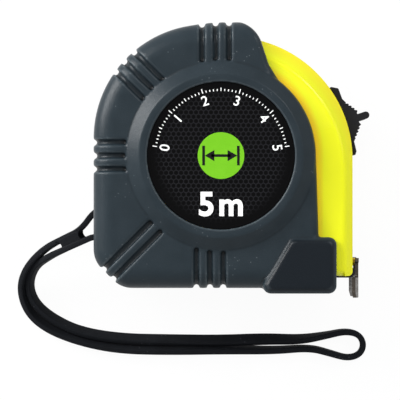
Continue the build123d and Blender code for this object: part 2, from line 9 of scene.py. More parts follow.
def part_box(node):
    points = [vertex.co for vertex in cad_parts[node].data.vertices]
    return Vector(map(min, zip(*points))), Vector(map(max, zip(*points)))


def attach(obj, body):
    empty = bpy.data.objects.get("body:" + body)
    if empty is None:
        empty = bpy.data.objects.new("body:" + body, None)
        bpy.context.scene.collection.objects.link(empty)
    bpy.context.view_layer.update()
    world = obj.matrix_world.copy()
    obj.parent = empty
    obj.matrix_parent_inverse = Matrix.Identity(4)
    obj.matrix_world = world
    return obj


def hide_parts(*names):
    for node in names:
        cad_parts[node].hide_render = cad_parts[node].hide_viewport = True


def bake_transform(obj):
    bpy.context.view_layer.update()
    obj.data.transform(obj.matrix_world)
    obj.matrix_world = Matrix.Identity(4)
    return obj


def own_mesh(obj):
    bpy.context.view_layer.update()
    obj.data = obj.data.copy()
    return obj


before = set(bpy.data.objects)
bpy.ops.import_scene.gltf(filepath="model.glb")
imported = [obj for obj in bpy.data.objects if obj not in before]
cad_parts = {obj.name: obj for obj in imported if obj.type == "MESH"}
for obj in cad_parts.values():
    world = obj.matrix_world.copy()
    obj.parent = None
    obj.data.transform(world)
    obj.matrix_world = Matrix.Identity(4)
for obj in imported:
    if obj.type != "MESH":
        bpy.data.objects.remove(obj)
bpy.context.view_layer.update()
scene = bpy.context.scene
scene.view_settings.view_transform = "Standard"

# The view: the tape lies on its back and the camera hangs far above the label, looking straight down.
# 100 mm fill the picture at the height of the parting plane.
camera_place = (-0.00513, -0.01087, 0.818)
camera_lens = 288  # mm, for a picture 36 mm wide in the camera
camera = bpy.data.objects.new("camera", bpy.data.cameras.new("camera"))
camera.data.lens = camera_lens
camera.location = camera_place
scene.collection.objects.link(camera)
scene.camera = camera

# Wrist strap: one flat band of soft black rubber. It is looped round a post inside the case, leaves by a
# window in the side, drops to the ground and lies there with its two strands leaning on each other.
strap_thickness, strap_width = 0.0015, 0.0030
strap_corner, corner_points = 0.00035, 4
strap_exit = (-0.03139, -0.01347, 0.018)
strap_out = [  # each point's place, and the band's lean there in degrees
    (-0.02092, -0.01664, 0.018, 0), (-0.02092, -0.01347, 0.018, 0), (-0.0288, -0.01347, 0.018, 0),
    (*strap_exit, 0), (-0.0349, -0.0183, 0.0168, 0), (-0.0388, -0.0202, 0.0146, 0),
    (-0.0445, -0.0232, 0.0106, 10), (-0.0490, -0.0281, 0.0062, 20), (-0.0507, -0.0333, 0.0028, 28),
    (-0.0490, -0.0392, 0.0016, 32), (-0.0442, -0.0435, 0.00156, 35), (-0.0357, -0.0468, 0.00156, 38),
    (-0.0255, -0.0488, 0.00156, 38), (-0.0128, -0.0491, 0.00156, 34), (0.0012, -0.0490, 0.0016, 26),
]
strap_loop = [
    (0.0140, -0.0492, 0.0017, 16), (0.0229, -0.0485, 0.0017, 10), (0.0283, -0.0500, 0.0017, 6),
    (0.0324, -0.0512, 0.0017, 2), (0.0356, -0.0503, 0.0017, 0), (0.0367, -0.0477, 0.0017, 0),
    (0.0354, -0.0451, 0.0017, 0), (0.0319, -0.0443, 0.0017, -4),
]
strap_home = [
    (0.0273, -0.0453, 0.0017, -10), (0.0204, -0.0465, 0.00156, -30), (0.0115, -0.0463, 0.00147, -50),
    (0.0000, -0.0468, 0.00147, -55), (-0.0128, -0.0466, 0.00147, -48), (-0.0250, -0.0463, 0.00156, -40),
    (-0.0352, -0.0447, 0.00156, -38), (-0.0419, -0.0417, 0.00156, -35), (-0.0470, -0.0377, 0.0016, -30),
    (-0.0489, -0.0328, 0.0028, -24), (-0.0472, -0.0278, 0.0062, -16), (-0.0430, -0.0250, 0.0106, -8),
    (-0.0388, -0.0231, 0.0146, 0), (-0.0344, -0.0212, 0.0168, 0), (-0.03139, -0.01981, 0.018, 0),
    (-0.02092, -0.01981, 0.018, 0), (-0.02092, -0.01664, 0.018, 0),
]


def route_curve(name, points):
    """A smooth open line whose control points are the route's, each with its tilt in degrees."""
    curve = bpy.data.curves.new(name, "CURVE")
    curve.dimensions = "3D"
    curve.twist_mode = "Z_UP"
    curve.resolution_u = 8
    line = curve.splines.new("NURBS")
    line.points.add(len(points) - 1)
    for point, (x, y, z, tilt) in zip(line.points, points):
        point.co = (x, y, z, 1)
        point.tilt = radians(tilt)
    line.order_u = 3
    line.use_endpoint_u = True
    return curve


def mesh_of(data):
    """The mesh that a curve or a text gives."""
    holder = bpy.data.objects.new("holder", data)
    scene.collection.objects.link(holder)
    mesh = bpy.data.meshes.new_from_object(holder.evaluated_get(bpy.context.evaluated_depsgraph_get()))
    bpy.data.objects.remove(holder)
    return mesh


def new_piece(name, mesh, material, body, replaced=()):
    """A finished piece, with its body, its material and the CAD nodes that it stands for."""
    mesh.name = name
    mesh.materials.clear()
    mesh.materials.append(material)
    piece = bpy.data.objects.new(name, mesh)
    scene.collection.objects.link(piece)
    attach(piece, body)
    if replaced:
        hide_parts(*replaced)
    return piece


def add_node(tree, kind, inputs=None, **settings):
    """A shader node with its settings; an input is a value or another node's output."""
    made = tree.nodes.new("ShaderNode" + kind)
    for name, value in settings.items():
        setattr(made, name, value)
    for name, value in (inputs or {}).items():
        if isinstance(value, bpy.types.NodeSocket):
            tree.links.new(value, made.inputs[name])
        else:
            made.inputs[name].default_value = value
    return made


def maths(tree, operation, *values):
    """A number worked out from values or other nodes' outputs."""
    return add_node(tree, "Math", dict(enumerate(values)), operation=operation).outputs[0]


def ramp(tree, value, span, result=(0.0, 1.0)):
    """A number that goes evenly from the first result to the second as the value crosses the span."""
    return add_node(tree, "MapRange", {"Value": value, "From Min": span[0], "From Max": span[1],
                                       "To Min": result[0], "To Max": result[1]}).outputs[0]


def noise(tree, place, scale, detail, roughness=0.5):
    """A cloudy number that changes with the place."""
    return add_node(tree, "TexNoise", {"Vector": place, "Scale": scale, "Detail": detail,
                                       "Roughness": roughness}).outputs["Fac"]


def mixed(tree, share, first, second):
    """A colour between two others, by a share of the second."""
    return add_node(tree, "Mix", {"Factor": share, 6: first, 7: second}, data_type="RGBA").outputs[2]


def new_material(name, **constants):
    """A material with its shader's plain values set; returns the material, its tree and the shader."""
    material = bpy.data.materials.new(name)
    material.use_nodes = True
    shader = material.node_tree.nodes["Principled BSDF"]
    for socket, value in constants.items():
        shader.inputs[socket.replace("_", " ")].default_value = value
    return material, material.node_tree, shader


def new_group(name, inputs, outputs):
    """An empty node group with named number inputs and outputs."""
    group = bpy.data.node_groups.new(name, "ShaderNodeTree")
    for socket, value in inputs.items():
        kind = "NodeSocketVector" if value is None else "NodeSocketFloat"
        made = group.interface.new_socket(socket, in_out="INPUT", socket_type=kind)
        if value is not None:
            made.default_value = value
    for socket in outputs:
        group.interface.new_socket(socket, in_out="OUTPUT", socket_type="NodeSocketFloat")
    return group, group.nodes.new("NodeGroupInput").outputs, group.nodes.new("NodeGroupOutput").inputs


# moulded grain: the fine pebble of a blasted mould, broad uneven patches, and a few specks of dust
grain, grain_in, grain_out = new_group(
    "moulded_grain", {"Place": None, "Fineness": 3000.0, "Patch": 120.0, "Dust": 0.5},
    ("Height", "Patches", "Specks"))
pebble = noise(grain, grain_in["Place"], grain_in["Fineness"], detail=2.0, roughness=0.6)
cloud = noise(grain, grain_in["Place"], grain_in["Patch"], detail=3.0)
dust = add_node(grain, "TexVoronoi", {"Vector": grain_in["Place"], "Scale": 900.0,
                                      "Randomness": 1.0}).outputs["Distance"]
near = ramp(grain, dust, (0.05, 0.16), (1.0, 0.0))
rare = maths(grain, "GREATER_THAN", cloud, 0.56)
some = maths(grain, "MULTIPLY", near, rare)
part_dust = maths(grain, "MULTIPLY", some, grain_in["Dust"])
grain.links.new(pebble, grain_out["Height"])
grain.links.new(cloud, grain_out["Patches"])
grain.links.new(part_dust, grain_out["Specks"])


def grained(name, dark, light, speck, rough, relief, fineness=3000.0, patch=120.0, dust=0.5, **constants):
    """A moulded material: two near tones in patches, specks, uneven gloss and a fine raised grain."""
    material, tree, shader = new_material(name, **constants)
    place = add_node(tree, "TexCoord").outputs["Object"]
    feel = tree.nodes.new("ShaderNodeGroup")
    feel.node_tree = grain
    for socket, value in (("Fineness", fineness), ("Patch", patch), ("Dust", dust)):
        feel.inputs[socket].default_value = value
    tree.links.new(place, feel.inputs["Place"])
    tone = mixed(tree, feel.outputs["Patches"], (*dark, 1), (*light, 1))
    dusty = mixed(tree, feel.outputs["Specks"], tone, (*speck, 1))
    gloss = ramp(tree, feel.outputs["Height"], (0.3, 0.7), rough)
    bump = add_node(tree, "Bump", {"Height": feel.outputs["Height"], "Strength": relief,
                                   "Distance": 0.00005}).outputs[0]
    tree.links.new(dusty, shader.inputs["Base Color"])
    tree.links.new(gloss, shader.inputs["Roughness"])
    tree.links.new(bump, shader.inputs["Normal"])
    return material


strap_rubber = grained("strap_rubber", dark=(0.003, 0.0034, 0.0045), light=(0.007, 0.008, 0.010),
                       speck=(0.10, 0.10, 0.11), rough=(0.66, 0.80), relief=0.35, fineness=2600, patch=160,
                       dust=0.5, Specular_IOR_Level=0.1)
strap_points = strap_out + strap_loop + strap_home
section = bpy.data.curves.new("strap_section", "CURVE")
section.dimensions = "2D"
outline = section.splines.new("POLY")
corners = []
for corner, (side_x, side_y) in enumerate(((1, 1), (-1, 1), (-1, -1), (1, -1))):
    for step in range(corner_points):
        bearing = radians(90 * corner + 90 / (corner_points - 1) * step)
        corners.append((side_x * (strap_thickness / 2 - strap_corner) + strap_corner * cos(bearing),
                        side_y * (strap_width / 2 - strap_corner) + strap_corner * sin(bearing), 0, 1))
outline.points.add(len(corners) - 1)
for point, place in zip(outline.points, corners):
    point.co = place
outline.use_cyclic_u = True
section_holder = bpy.data.objects.new("strap_section", section)
scene.collection.objects.link(section_holder)
strap_line = mesh_of(route_curve("strap_line", strap_points))
band = route_curve("strap_band", strap_points)
band.bevel_mode = "OBJECT"
band.bevel_object = section_holder
band.use_fill_caps = True
strap_mesh = mesh_of(band)
bpy.data.objects.remove(section_holder)
strap_mesh.shade_smooth()
strap = new_piece("wrist_strap_band", strap_mesh, strap_rubber, "case", ["wrist_strap"])

# Strap web: near the case the strands are moulded together by a web of the same rubber, almost flush with
# their edges. It ends in a round notch towards the case and another towards the loop.
web_length, web_height = 0.0086, 0.0029
web_shift = 0.0021  # towards the case, from the points where the strands run side by side
web_rim = 0.00015
notch_steps = 10


def thicken(work, height):
    """The flat faces of a bmesh given a height along Z, with all its faces turned outwards."""
    grown = bmesh.ops.extrude_face_region(work, geom=work.faces[:])
    bmesh.ops.translate(work, verts=[v for v in grown["geom"] if isinstance(v, bmesh.types.BMVert)],
                        vec=(0, 0, height))
    bmesh.ops.recalc_face_normals(work, faces=work.faces)


def mesh_from(work, name):
    """The mesh of a finished bmesh."""
    mesh = bpy.data.meshes.new(name)
    work.to_mesh(mesh)
    work.free()
    return mesh


strand_a, strand_b = Vector(strap_out[5][:3]), Vector(strap_home[-5][:3])
web_notch = (strand_a - strand_b).length / 2
web = bmesh.new()
rows = []
for end in (1, -1):
    centre = (end * web_length / 2, 0, -web_height / 2)
    first = web.verts.new((end * web_length / 2, end * web_notch, -web_height / 2))
    turned = bmesh.ops.spin(web, geom=[first], cent=centre, axis=(0, 0, 1), angle=pi, steps=notch_steps,
                            use_duplicate=False)
    rows.append((first, turned["geom_last"][0]))
web.edges.new((rows[0][0], rows[1][1]))
web.edges.new((rows[1][0], rows[0][1]))
bmesh.ops.edgenet_fill(web, edges=web.edges)
thicken(web, web_height)
rims = [e for e in web.edges if abs(e.verts[0].co.z - e.verts[1].co.z) < web_rim]
bmesh.ops.bevel(web, geom=rims, offset=web_rim, affect="EDGES", segments=3, profile=0.5, material=-1)
run = (strand_a - Vector(strap_out[4][:3])).normalized()
side = Vector((-run.y, run.x, 0)).normalized()
turn = Matrix((run, side, run.cross(side))).transposed().to_4x4()
web_middle = (strand_a + strand_b) / 2 - run * web_shift
bmesh.ops.transform(web, matrix=Matrix.Translation(web_middle) @ turn, verts=web.verts)
strap_web = new_piece("strap_web", mesh_from(web, "strap_web"), strap_rubber, "case",
                      ["strap_bridge"])

# Reel: a moulded nylon drum with its cover, and the blade wound between their flanges. Inside it the power
# spring, a coiled strip of steel, pulls on the fixed arbor post. They show only when the case is open.
blade_pitch, spring_pitch = 0.00033, 0.0006  # from one fine ring to the next


def repaint(node, material):
    """A CAD node keeps its shape and gets a better finish."""
    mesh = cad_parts[node].data
    mesh.materials.clear()
    mesh.materials.append(material)


reel_nylon = grained("reel_nylon", dark=(0.42, 0.43, 0.42), light=(0.52, 0.53, 0.51), speck=(0.3, 0.3, 0.3),
                     rough=(0.35, 0.5), relief=0.2, fineness=1800, patch=90, dust=0.2)
for node in ("reel_drum", "reel_cover"):
    repaint(node, reel_nylon)


def vector_maths(tree, operation, *values):
    """A vector worked out from values or outputs, or a number where it is a length or a dot product."""
    made = add_node(tree, "VectorMath", dict(enumerate(values)), operation=operation)
    return made.outputs["Value" if operation in ("LENGTH", "DOT_PRODUCT") else "Vector"]


def ringed_steel(name, dark, light, pitch, **constants):
    """Wound strip steel seen on its edge: fine rings about the reel's axis, with a rolled shine."""
    material, tree, shader = new_material(name, Metallic=1.0, **constants)
    place = add_node(tree, "TexCoord").outputs["Object"]
    flat = vector_maths(tree, "MULTIPLY", place, (1, 1, 0))
    turns = maths(tree, "MULTIPLY", vector_maths(tree, "LENGTH", flat), 2 * pi / pitch)
    rings = ramp(tree, maths(tree, "SINE", turns), (-1.0, 1.0))
    smear = noise(tree, place, 500.0, detail=2.0)
    tone = mixed(tree, maths(tree, "MULTIPLY", rings, smear), (*dark, 1), (*light, 1))
    gloss = ramp(tree, smear, (0.0, 1.0), (0.22, 0.5))
    bump = add_node(tree, "Bump", {"Height": rings, "Strength": 0.4, "Distance": 0.00003}).outputs[0]
    tree.links.new(tone, shader.inputs["Base Color"])
    tree.links.new(gloss, shader.inputs["Roughness"])
    tree.links.new(bump, shader.inputs["Normal"])
    return material


repaint("blade_coil", ringed_steel("wound_blade", dark=(0.30, 0.24, 0.03), light=(0.72, 0.60, 0.08),
                                   pitch=blade_pitch))
spring_steel = ringed_steel("spring_steel", dark=(0.14, 0.15, 0.18), light=(0.42, 0.44, 0.48),
                            pitch=spring_pitch)
for node in ("power_spring", "arbor_post", "strap_post"):
    repaint(node, spring_steel)

# Case halves: two shells of bright yellow plastic, screwed together from behind. Only the bevelled nose
# shows, from the top edge round to the mouth; the rubber jackets cover the rest.
# Painted shade: near the jacket's edge the yellow is coloured orange, as the jacket shades it there.
jacket_shade_reach = (0.0236, 0.0254)  # the yellow turns to orange where it dips under the jacket's edge
# Painted shade: the bevel is coloured warmer towards the rim, where it turns away from the lamps.
rim_level = (0.0122, 0.0085)    # from the parting plane: the bevel warms towards the rim
mid_plane = 0.018
shell_edge, shell_sharp = 0.0008, 20.0  # metres and degrees
weld_reach, flat_turn = 2e-6, 0.6       # metres and degrees


def merged_copy(node):
    """A bmesh of a CAD node with its loose triangles joined and its flat faces made whole."""
    work = bmesh.new()
    work.from_mesh(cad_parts[node].data)
    bmesh.ops.remove_doubles(work, verts=work.verts, dist=weld_reach)
    bmesh.ops.dissolve_limit(work, angle_limit=radians(flat_turn), verts=work.verts, edges=work.edges)
    return work


def smooth_copy(node, sharp=35.0):
    """A mesh of a CAD node that shades smoothly but for its sharp edges."""
    mesh = mesh_from(merged_copy(node), node)
    mesh.shade_smooth()
    mesh.set_sharp_from_angle(angle=radians(sharp))
    return mesh


def off_plane(tree, place):
    """A point's height from the parting plane, to either side."""
    return maths(tree, "ABSOLUTE", maths(tree, "SUBTRACT", place["Z"], mid_plane))


yellow_abs = grained("yellow_abs", dark=(0.70, 0.715, 0.006), light=(0.76, 0.775, 0.009),
                     speck=(0.62, 0.52, 0.03), rough=(0.18, 0.26), relief=0.12, fineness=2200, patch=60,
                     dust=0.12, Specular_IOR_Level=0.3)
tree = yellow_abs.node_tree
paint = tree.nodes["Principled BSDF"].inputs["Base Color"]
place = add_node(tree, "SeparateXYZ", {0: add_node(tree, "TexCoord").outputs["Object"]}).outputs
upper = maths(tree, "MAXIMUM", place["Y"], 0.0)
plan = add_node(tree, "CombineXYZ", {"X": place["X"], "Y": upper}).outputs[0]
# painted shade: orange on the yellow next to the jacket's edge
painted_jacket_shade = ramp(tree, vector_maths(tree, "LENGTH", plan), jacket_shade_reach, (0.85, 0.0))
# painted shade: warmer down the bevel; both painted shades are mixed into the yellow
rim_painted_shade = ramp(tree, off_plane(tree, place), rim_level, (0.0, 0.45))
painted_warm_shade = maths(tree, "MAXIMUM", painted_jacket_shade, rim_painted_shade)
shade_tinted = mixed(tree, painted_warm_shade, paint.links[0].from_socket, (0.86, 0.50, 0.006, 1))
tree.links.new(shade_tinted, paint)


def bevelled(node, name, material, body, edge, sharp=35.0):
    """A copy of a CAD node whose sharp edges are broken, in the node's place."""
    piece = new_piece(name, smooth_copy(node, sharp), material, body, [node])
    broken = piece.modifiers.new("broken edges", "BEVEL")
    broken.width = edge
    broken.segments = 2
    broken.limit_method = "ANGLE"
    broken.angle_limit = radians(sharp)
    broken.harden_normals = True
    return piece


for half in ("front", "rear"):
    bevelled(half + "_case", half + "_shell", yellow_abs, "case", shell_edge,
             sharp=shell_sharp)

# Case screws: four zinc-plated cross-head screws, driven from the rear. Each head is sunk in a well of the
# rear half, and its shank bites in a boss of the front half.
screw_edge = 0.00008


def worn_steel(name, dark, light, fleck, rough, **constants):
    """Plated or blackened steel: streaks across the sheet, and bright flecks where its skin is worn."""
    material, tree, shader = new_material(name, Metallic=1.0, **constants)
    place = add_node(tree, "TexCoord").outputs["Object"]
    drawn = add_node(tree, "Mapping", {"Vector": place, "Scale": (900, 2500, 300)}).outputs[0]
    streak = noise(tree, drawn, 1.0, detail=3.0)
    wear_and_painted_highlight = ramp(tree, noise(tree, place, 1800.0, detail=4.0), (0.62, 0.74))
    tone = mixed(tree, streak, (*dark, 1), (*light, 1))
    bright = mixed(tree, wear_and_painted_highlight, tone, (*fleck, 1))
    gloss = ramp(tree, streak, (0.3, 0.7), rough)
    bump = add_node(tree, "Bump", {"Height": streak, "Strength": 0.3, "Distance": 0.00002}).outputs[0]
    tree.links.new(bright, shader.inputs["Base Color"])
    tree.links.new(gloss, shader.inputs["Roughness"])
    tree.links.new(bump, shader.inputs["Normal"])
    return material


screw_steel = worn_steel("screw_steel", dark=(0.36, 0.36, 0.38), light=(0.55, 0.55, 0.57),
                         fleck=(0.7, 0.7, 0.7), rough=(0.25, 0.45))
bevelled("case_screws", "screw_set", screw_steel, "case", screw_edge)

# Blade: 19 mm steel strip with a yellow lacquer and black marks at every millimetre. It is flat on the coil
# and springs into its cup before the mouth. Pulled out, the strip between the case and the hook grows; here
# it is built at rest, with most cross-sections in the short piece that is drawn out and the whole length's
# marks on it.
blade_low, blade_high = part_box("blade_run")
blade_width, blade_thickness, cup_curve = 0.019, 0.00015, 1 / 0.023
blade_mid = (blade_low.z + blade_high.z) / 2
coil_end, level_y = (-0.0024, -0.02476), -0.027194  # where it leaves the coil, and its height in the mouth
cup_x, least_cup = 0.0231, 0.05  # the cup is whole from here on, and a trace of it is left at the coil
blade_end = blade_high.x
blade_length = 5.0
draw_from, draw_to = 0.0238, 0.0256  # the short piece that is drawn out as the blade is pulled
strip_parts, strip_columns, strip_sharp = 250, 16, 40
blade_marks = ((0.001, 0.0024, 0.00016), (0.005, 0.0038, 0.0002), (0.010, 0.0060, 0.00026))
stations = ((0.0, coil_end[0]), (0.1, draw_from), (0.9, draw_to), (1.0, blade_end))


def along_blade(share):
    """The place along X of a share of the strip's cross-sections: most lie where the strip is drawn out."""
    for (low, from_x), (high, to_x) in zip(stations, stations[1:]):
        if share <= high:
            return from_x + (to_x - from_x) * (share - low) / (high - low)
    return blade_end


strip = bmesh.new()
bmesh.ops.create_grid(strip, x_segments=strip_parts, y_segments=strip_columns, size=0.5)
for vert in strip.verts:
    x = along_blade(min(vert.co.x + 0.5, 1.0))
    opened = min(1.0, (x - coil_end[0]) / (cup_x - coil_end[0]))
    curve = cup_curve * max(opened, least_cup)
    bend = vert.co.y * blade_width * curve
    height = coil_end[1] + (level_y - coil_end[1]) * opened - blade_thickness / 2
    vert.co = (x, height + (1 - cos(bend)) / curve, blade_mid + sin(bend) / curve)
bmesh.ops.recalc_face_normals(strip, faces=strip.faces)
bmesh.ops.solidify(strip, geom=strip.faces[:], thickness=blade_thickness)
bmesh.ops.recalc_face_normals(strip, faces=strip.faces)
marks = strip.loops.layers.uv.new("marks")
for face in strip.faces:
    for loop in face.loops:
        x = loop.vert.co.x
        share = min(max((x - draw_from) / (draw_to - draw_from), 0.0), 1.0)
        share = share * share * (3 - 2 * share)
        loop[marks].uv = (blade_end - x + (1 - share) * blade_length, loop.vert.co.z - blade_mid)
strip_mesh = mesh_from(strip, "blade_strip")
strip_mesh.shade_smooth()
strip_mesh.set_sharp_from_angle(angle=radians(strip_sharp))

lacquer, tree, shader = new_material("lacquer", Coat_Weight=0.4, Coat_Roughness=0.15)
spot = add_node(tree, "SeparateXYZ", {0: add_node(tree, "UVMap", uv_map="marks").outputs[0]}).outputs
aside = maths(tree, "ABSOLUTE", spot["Y"])
printed = 0.0
for step, length, thickness in blade_marks:
    line = maths(tree, "LESS_THAN", maths(tree, "PINGPONG", spot["X"], step / 2), thickness / 2)
    at_edge = maths(tree, "GREATER_THAN", aside, blade_width / 2 - length)
    printed = maths(tree, "MAXIMUM", printed, maths(tree, "MULTIPLY", line, at_edge))
smear = noise(tree, add_node(tree, "TexCoord").outputs["Object"], 300.0, detail=3.0)
coat = mixed(tree, smear, (0.72, 0.46, 0.012, 1), (0.80, 0.54, 0.02, 1))
marked = mixed(tree, printed, coat, (0.012, 0.012, 0.012, 1))
gloss = ramp(tree, smear, (0.0, 1.0), (0.28, 0.45))
tree.links.new(marked, shader.inputs["Base Color"])
tree.links.new(gloss, shader.inputs["Roughness"])
strip_mesh.materials.append(lacquer)
blade_strip = bpy.data.objects.new("blade_strip", strip_mesh)
scene.collection.objects.link(blade_strip)
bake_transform(blade_strip)
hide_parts("blade_run")

# End hook: blackened sheet steel, bent down over the mouth, with its lip's ends turned back. Two rivets
# hold its tongue on the blade, in slots, so that it slides by about its own thickness.
hook_edge, rivet_edge = 0.00018, 0.00012
hook_steel = worn_steel("hook_steel", dark=(0.035, 0.030, 0.026), light=(0.11, 0.095, 0.08),
                        fleck=(0.55, 0.51, 0.46), rough=(0.28, 0.5))
bevelled("end_hook", "blade_hook", hook_steel, "hook", hook_edge)
bevelled("hook_rivets", "rivet_pair", screw_steel, "blade", rivet_edge)

# Mouth: a black rubber buffer under the blade that the hook strikes, in a bed of the case's base, and above
# the blade a nylon guide that is held by a rib in each half.
buffer_edge = 0.0002
black_nylon = grained("black_nylon", dark=(0.006, 0.006, 0.007), light=(0.012, 0.012, 0.0135),
                      speck=(0.08, 0.08, 0.085), rough=(0.36, 0.52), relief=0.35, fineness=2600, patch=200,
                      dust=0.3, Specular_IOR_Level=0.15)
bevelled("mouth_bumper", "mouth_buffer", black_nylon, "case", buffer_edge)
bevelled("blade_guide", "mouth_guide", black_nylon, "case", buffer_edge)

# Thumb lock: a ribbed black slider on the nose. Its neck goes through a slot to a curved arm inside, and
# the arm's rubber pad presses on the blade when the slider is pushed down.
slider_edge = 0.00014
bevelled("lock_slider", "thumb_slider", black_nylon, "lock", slider_edge)
for node in ("lock_arm", "brake_pad"):
    repaint(node, black_nylon)

# Second stop: a flat black button in the toe's foot, with a rubber pad on its stem inside. A small coil
# spring in a cup of the case pushes it out, and closes up as the button goes in; here it keeps its resting
# length.
button_edge, button_stroke = 0.0003, 0.0016
bevelled("stop_button", "stop_key", black_nylon, "stop", button_edge)
repaint("stop_pad", black_nylon)
stop_coil = new_piece("stop_coil", smooth_copy("stop_spring"), spring_steel, "case",
                      ["stop_spring"])
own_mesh(stop_coil)

# Rubber jackets: thick black-grey rubber moulded over each half, with a raised boss ring round the label,
# groups of grip grooves and a block at the toe. The edges come soft from the mould.
jacket_voxel = 0.000345
soften_share, soften_passes, bend_passes = 0.5, 3, 3
toe_face = (0.0156, 0.0161)  # the toe's top faces stand higher than the jacket's sides, and are coloured darker
ring_foot = 0.0232
hollow_bend, crest_bend = (-900.0, -150.0), (350.0, 1400.0)  # one over the radius; below 0 in a hollow
jacket_rubber = grained("jacket_rubber", dark=(0.0085, 0.0145, 0.019), light=(0.020, 0.0285, 0.035),
                        speck=(0.13, 0.15, 0.16), rough=(0.28, 0.40), relief=0.6, fineness=2600, patch=180,
                        dust=0.6, Specular_IOR_Level=0.15)
tree = jacket_rubber.node_tree
paint = tree.nodes["Principled BSDF"].inputs["Base Color"]
place = add_node(tree, "SeparateXYZ", {0: add_node(tree, "TexCoord").outputs["Object"]}).outputs
lifted = ramp(tree, off_plane(tree, place), toe_face)
plan = add_node(tree, "CombineXYZ", {"X": place["X"], "Y": place["Y"]}).outputs[0]
outside = maths(tree, "GREATER_THAN", vector_maths(tree, "LENGTH", plan), ring_foot)
on_toe = maths(tree, "MULTIPLY", lifted, outside)
# the toe's top faces are coloured darker
darker_toe = mixed(tree, on_toe, paint.links[0].from_socket, (0.0035, 0.006, 0.009, 1))
bend = add_node(tree, "Attribute", attribute_name="bend").outputs["Fac"]
# Painted shade: the rubber is darkened in its hollows, where it bends inwards.
hollow_painted_shade = mixed(tree, ramp(tree, bend, hollow_bend, (0.9, 0.0)), darker_toe, (0.001, 0.0015, 0.002, 1))
# Painted highlight: the rubber is lightened on its sharp crests.
wear_and_painted_highlight = mixed(tree, ramp(tree, bend, crest_bend, (0.0, 0.6)), hollow_painted_shade, (0.10, 0.12, 0.13, 1))
tree.links.new(wear_and_painted_highlight, paint)


def moulded_skin(node):
    """A CAD node's mesh made even and softened, with how sharply it bends at each point."""
    holder = bpy.data.objects.new(node + "_blank", mesh_from(merged_copy(node), node))
    scene.collection.objects.link(holder)
    even = holder.modifiers.new("even", "REMESH")
    even.mode = "VOXEL"
    even.voxel_size = jacket_voxel
    even.use_smooth_shade = True
    soften = holder.modifiers.new("soften", "SMOOTH")
    soften.factor = soften_share
    soften.iterations = soften_passes
    skin = bpy.data.meshes.new_from_object(holder.evaluated_get(bpy.context.evaluated_depsgraph_get()))
    bpy.data.objects.remove(holder)

    count = len(skin.vertices)
    place, facing = np.empty(3 * count), np.empty(3 * count)
    ends = np.empty(2 * len(skin.edges), dtype=np.int32)
    skin.vertices.foreach_get("co", place)
    skin.vertex_normals.foreach_get("vector", facing)
    skin.edges.foreach_get("vertices", ends)
    first, second = ends.reshape(-1, 2).T
    step = np.diff(place.reshape(-1, 3)[ends].reshape(-1, 2, 3), axis=1)[:, 0]
    turn = np.diff(facing.reshape(-1, 3)[ends].reshape(-1, 2, 3), axis=1)[:, 0]
    along = (step * turn).sum(axis=1) / np.maximum((step * step).sum(axis=1), 1e-12)
    meeting = np.bincount(ends, minlength=count)
    for _ in range(bend_passes):
        bend = (np.bincount(first, along, count) + np.bincount(second, along, count)) / meeting
        along = (bend[first] + bend[second]) / 2
    skin.attributes.new("bend", "FLOAT", "POINT").data.foreach_set("value", bend.astype(np.float32))
    return skin


for half in ("front", "rear"):
    new_piece(half + "_rubber", moulded_skin(half + "_jacket"), jacket_rubber, "case",
              [half + "_jacket"])

# Label: a thin glossy disc of black film, stuck on the case's round platform inside the boss ring. A dark
# honeycomb is printed on it and fades out before the edge.
label_low, label_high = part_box("front_label")
label_radius = (label_high.x - label_low.x) / 2
label_bevel, label_sides = 0.00006, 128
same_level = 1e-7
cell = 0.00122                # a honeycomb cell, from side to side
cell_wall = (0.38, 0.47)      # of a cell, from its middle: where the line begins and is full
comb_fade = (0.0140, 0.0166)  # from the label's middle

film = bmesh.new()
bmesh.ops.create_circle(film, cap_ends=True, segments=label_sides, radius=label_radius)
thicken(film, label_high.z - label_low.z)
bmesh.ops.translate(film, verts=film.verts, vec=(0, 0, label_low.z))
top_rim = [e for e in film.edges if all(abs(v.co.z - label_high.z) < same_level for v in e.verts)]
bmesh.ops.bevel(film, geom=top_rim, offset=label_bevel, affect="EDGES", segments=2, profile=0.5,
                material=-1)
label_film, tree, shader = new_material("label_film", Specular_IOR_Level=0.05)
place = add_node(tree, "TexCoord").outputs["Object"]
flat = vector_maths(tree, "MULTIPLY", place, (1, 1, 0))
row = (cell, cell * sqrt(3), 1.0)
half_row = (row[0] / 2, row[1] / 2, 0)
slant_way = (0.5, sqrt(3) / 2, 0)
spots = []
for shift in ((0, 0, 0), half_row):
    moved = vector_maths(tree, "ADD", flat, shift)
    wrapped = vector_maths(tree, "WRAP", moved, row, (0, 0, 0))
    middle = vector_maths(tree, "SUBTRACT", wrapped, half_row)
    plane = vector_maths(tree, "MULTIPLY", middle, (1, 1, 0))
    spots.append((plane, vector_maths(tree, "LENGTH", plane)))
closer = maths(tree, "LESS_THAN", spots[0][1], spots[1][1])
nearest = add_node(tree, "Mix", {"Factor": closer, 4: spots[1][0], 5: spots[0][0]},
                   data_type="VECTOR").outputs[1]
folded = vector_maths(tree, "ABSOLUTE", nearest)
slant = vector_maths(tree, "DOT_PRODUCT", folded, slant_way)
upright = vector_maths(tree, "DOT_PRODUCT", folded, (1, 0, 0))
out = maths(tree, "MAXIMUM", slant, upright)
wall = ramp(tree, out, (cell_wall[0] * cell, cell_wall[1] * cell))
fade = ramp(tree, vector_maths(tree, "LENGTH", flat), comb_fade, (1.0, 0.0))
line = maths(tree, "MULTIPLY", wall, fade)
tone = mixed(tree, line, (0.0012, 0.0012, 0.0014, 1), (0.014, 0.014, 0.016, 1))
haze = noise(tree, place, 400.0, detail=3.0)
gloss = ramp(tree, haze, (0.0, 1.0), (0.25, 0.42))
tree.links.new(tone, shader.inputs["Base Color"])
tree.links.new(gloss, shader.inputs["Roughness"])
new_piece("label_disc", mesh_from(film, "label_disc"), label_film, "case", ["front_label"])

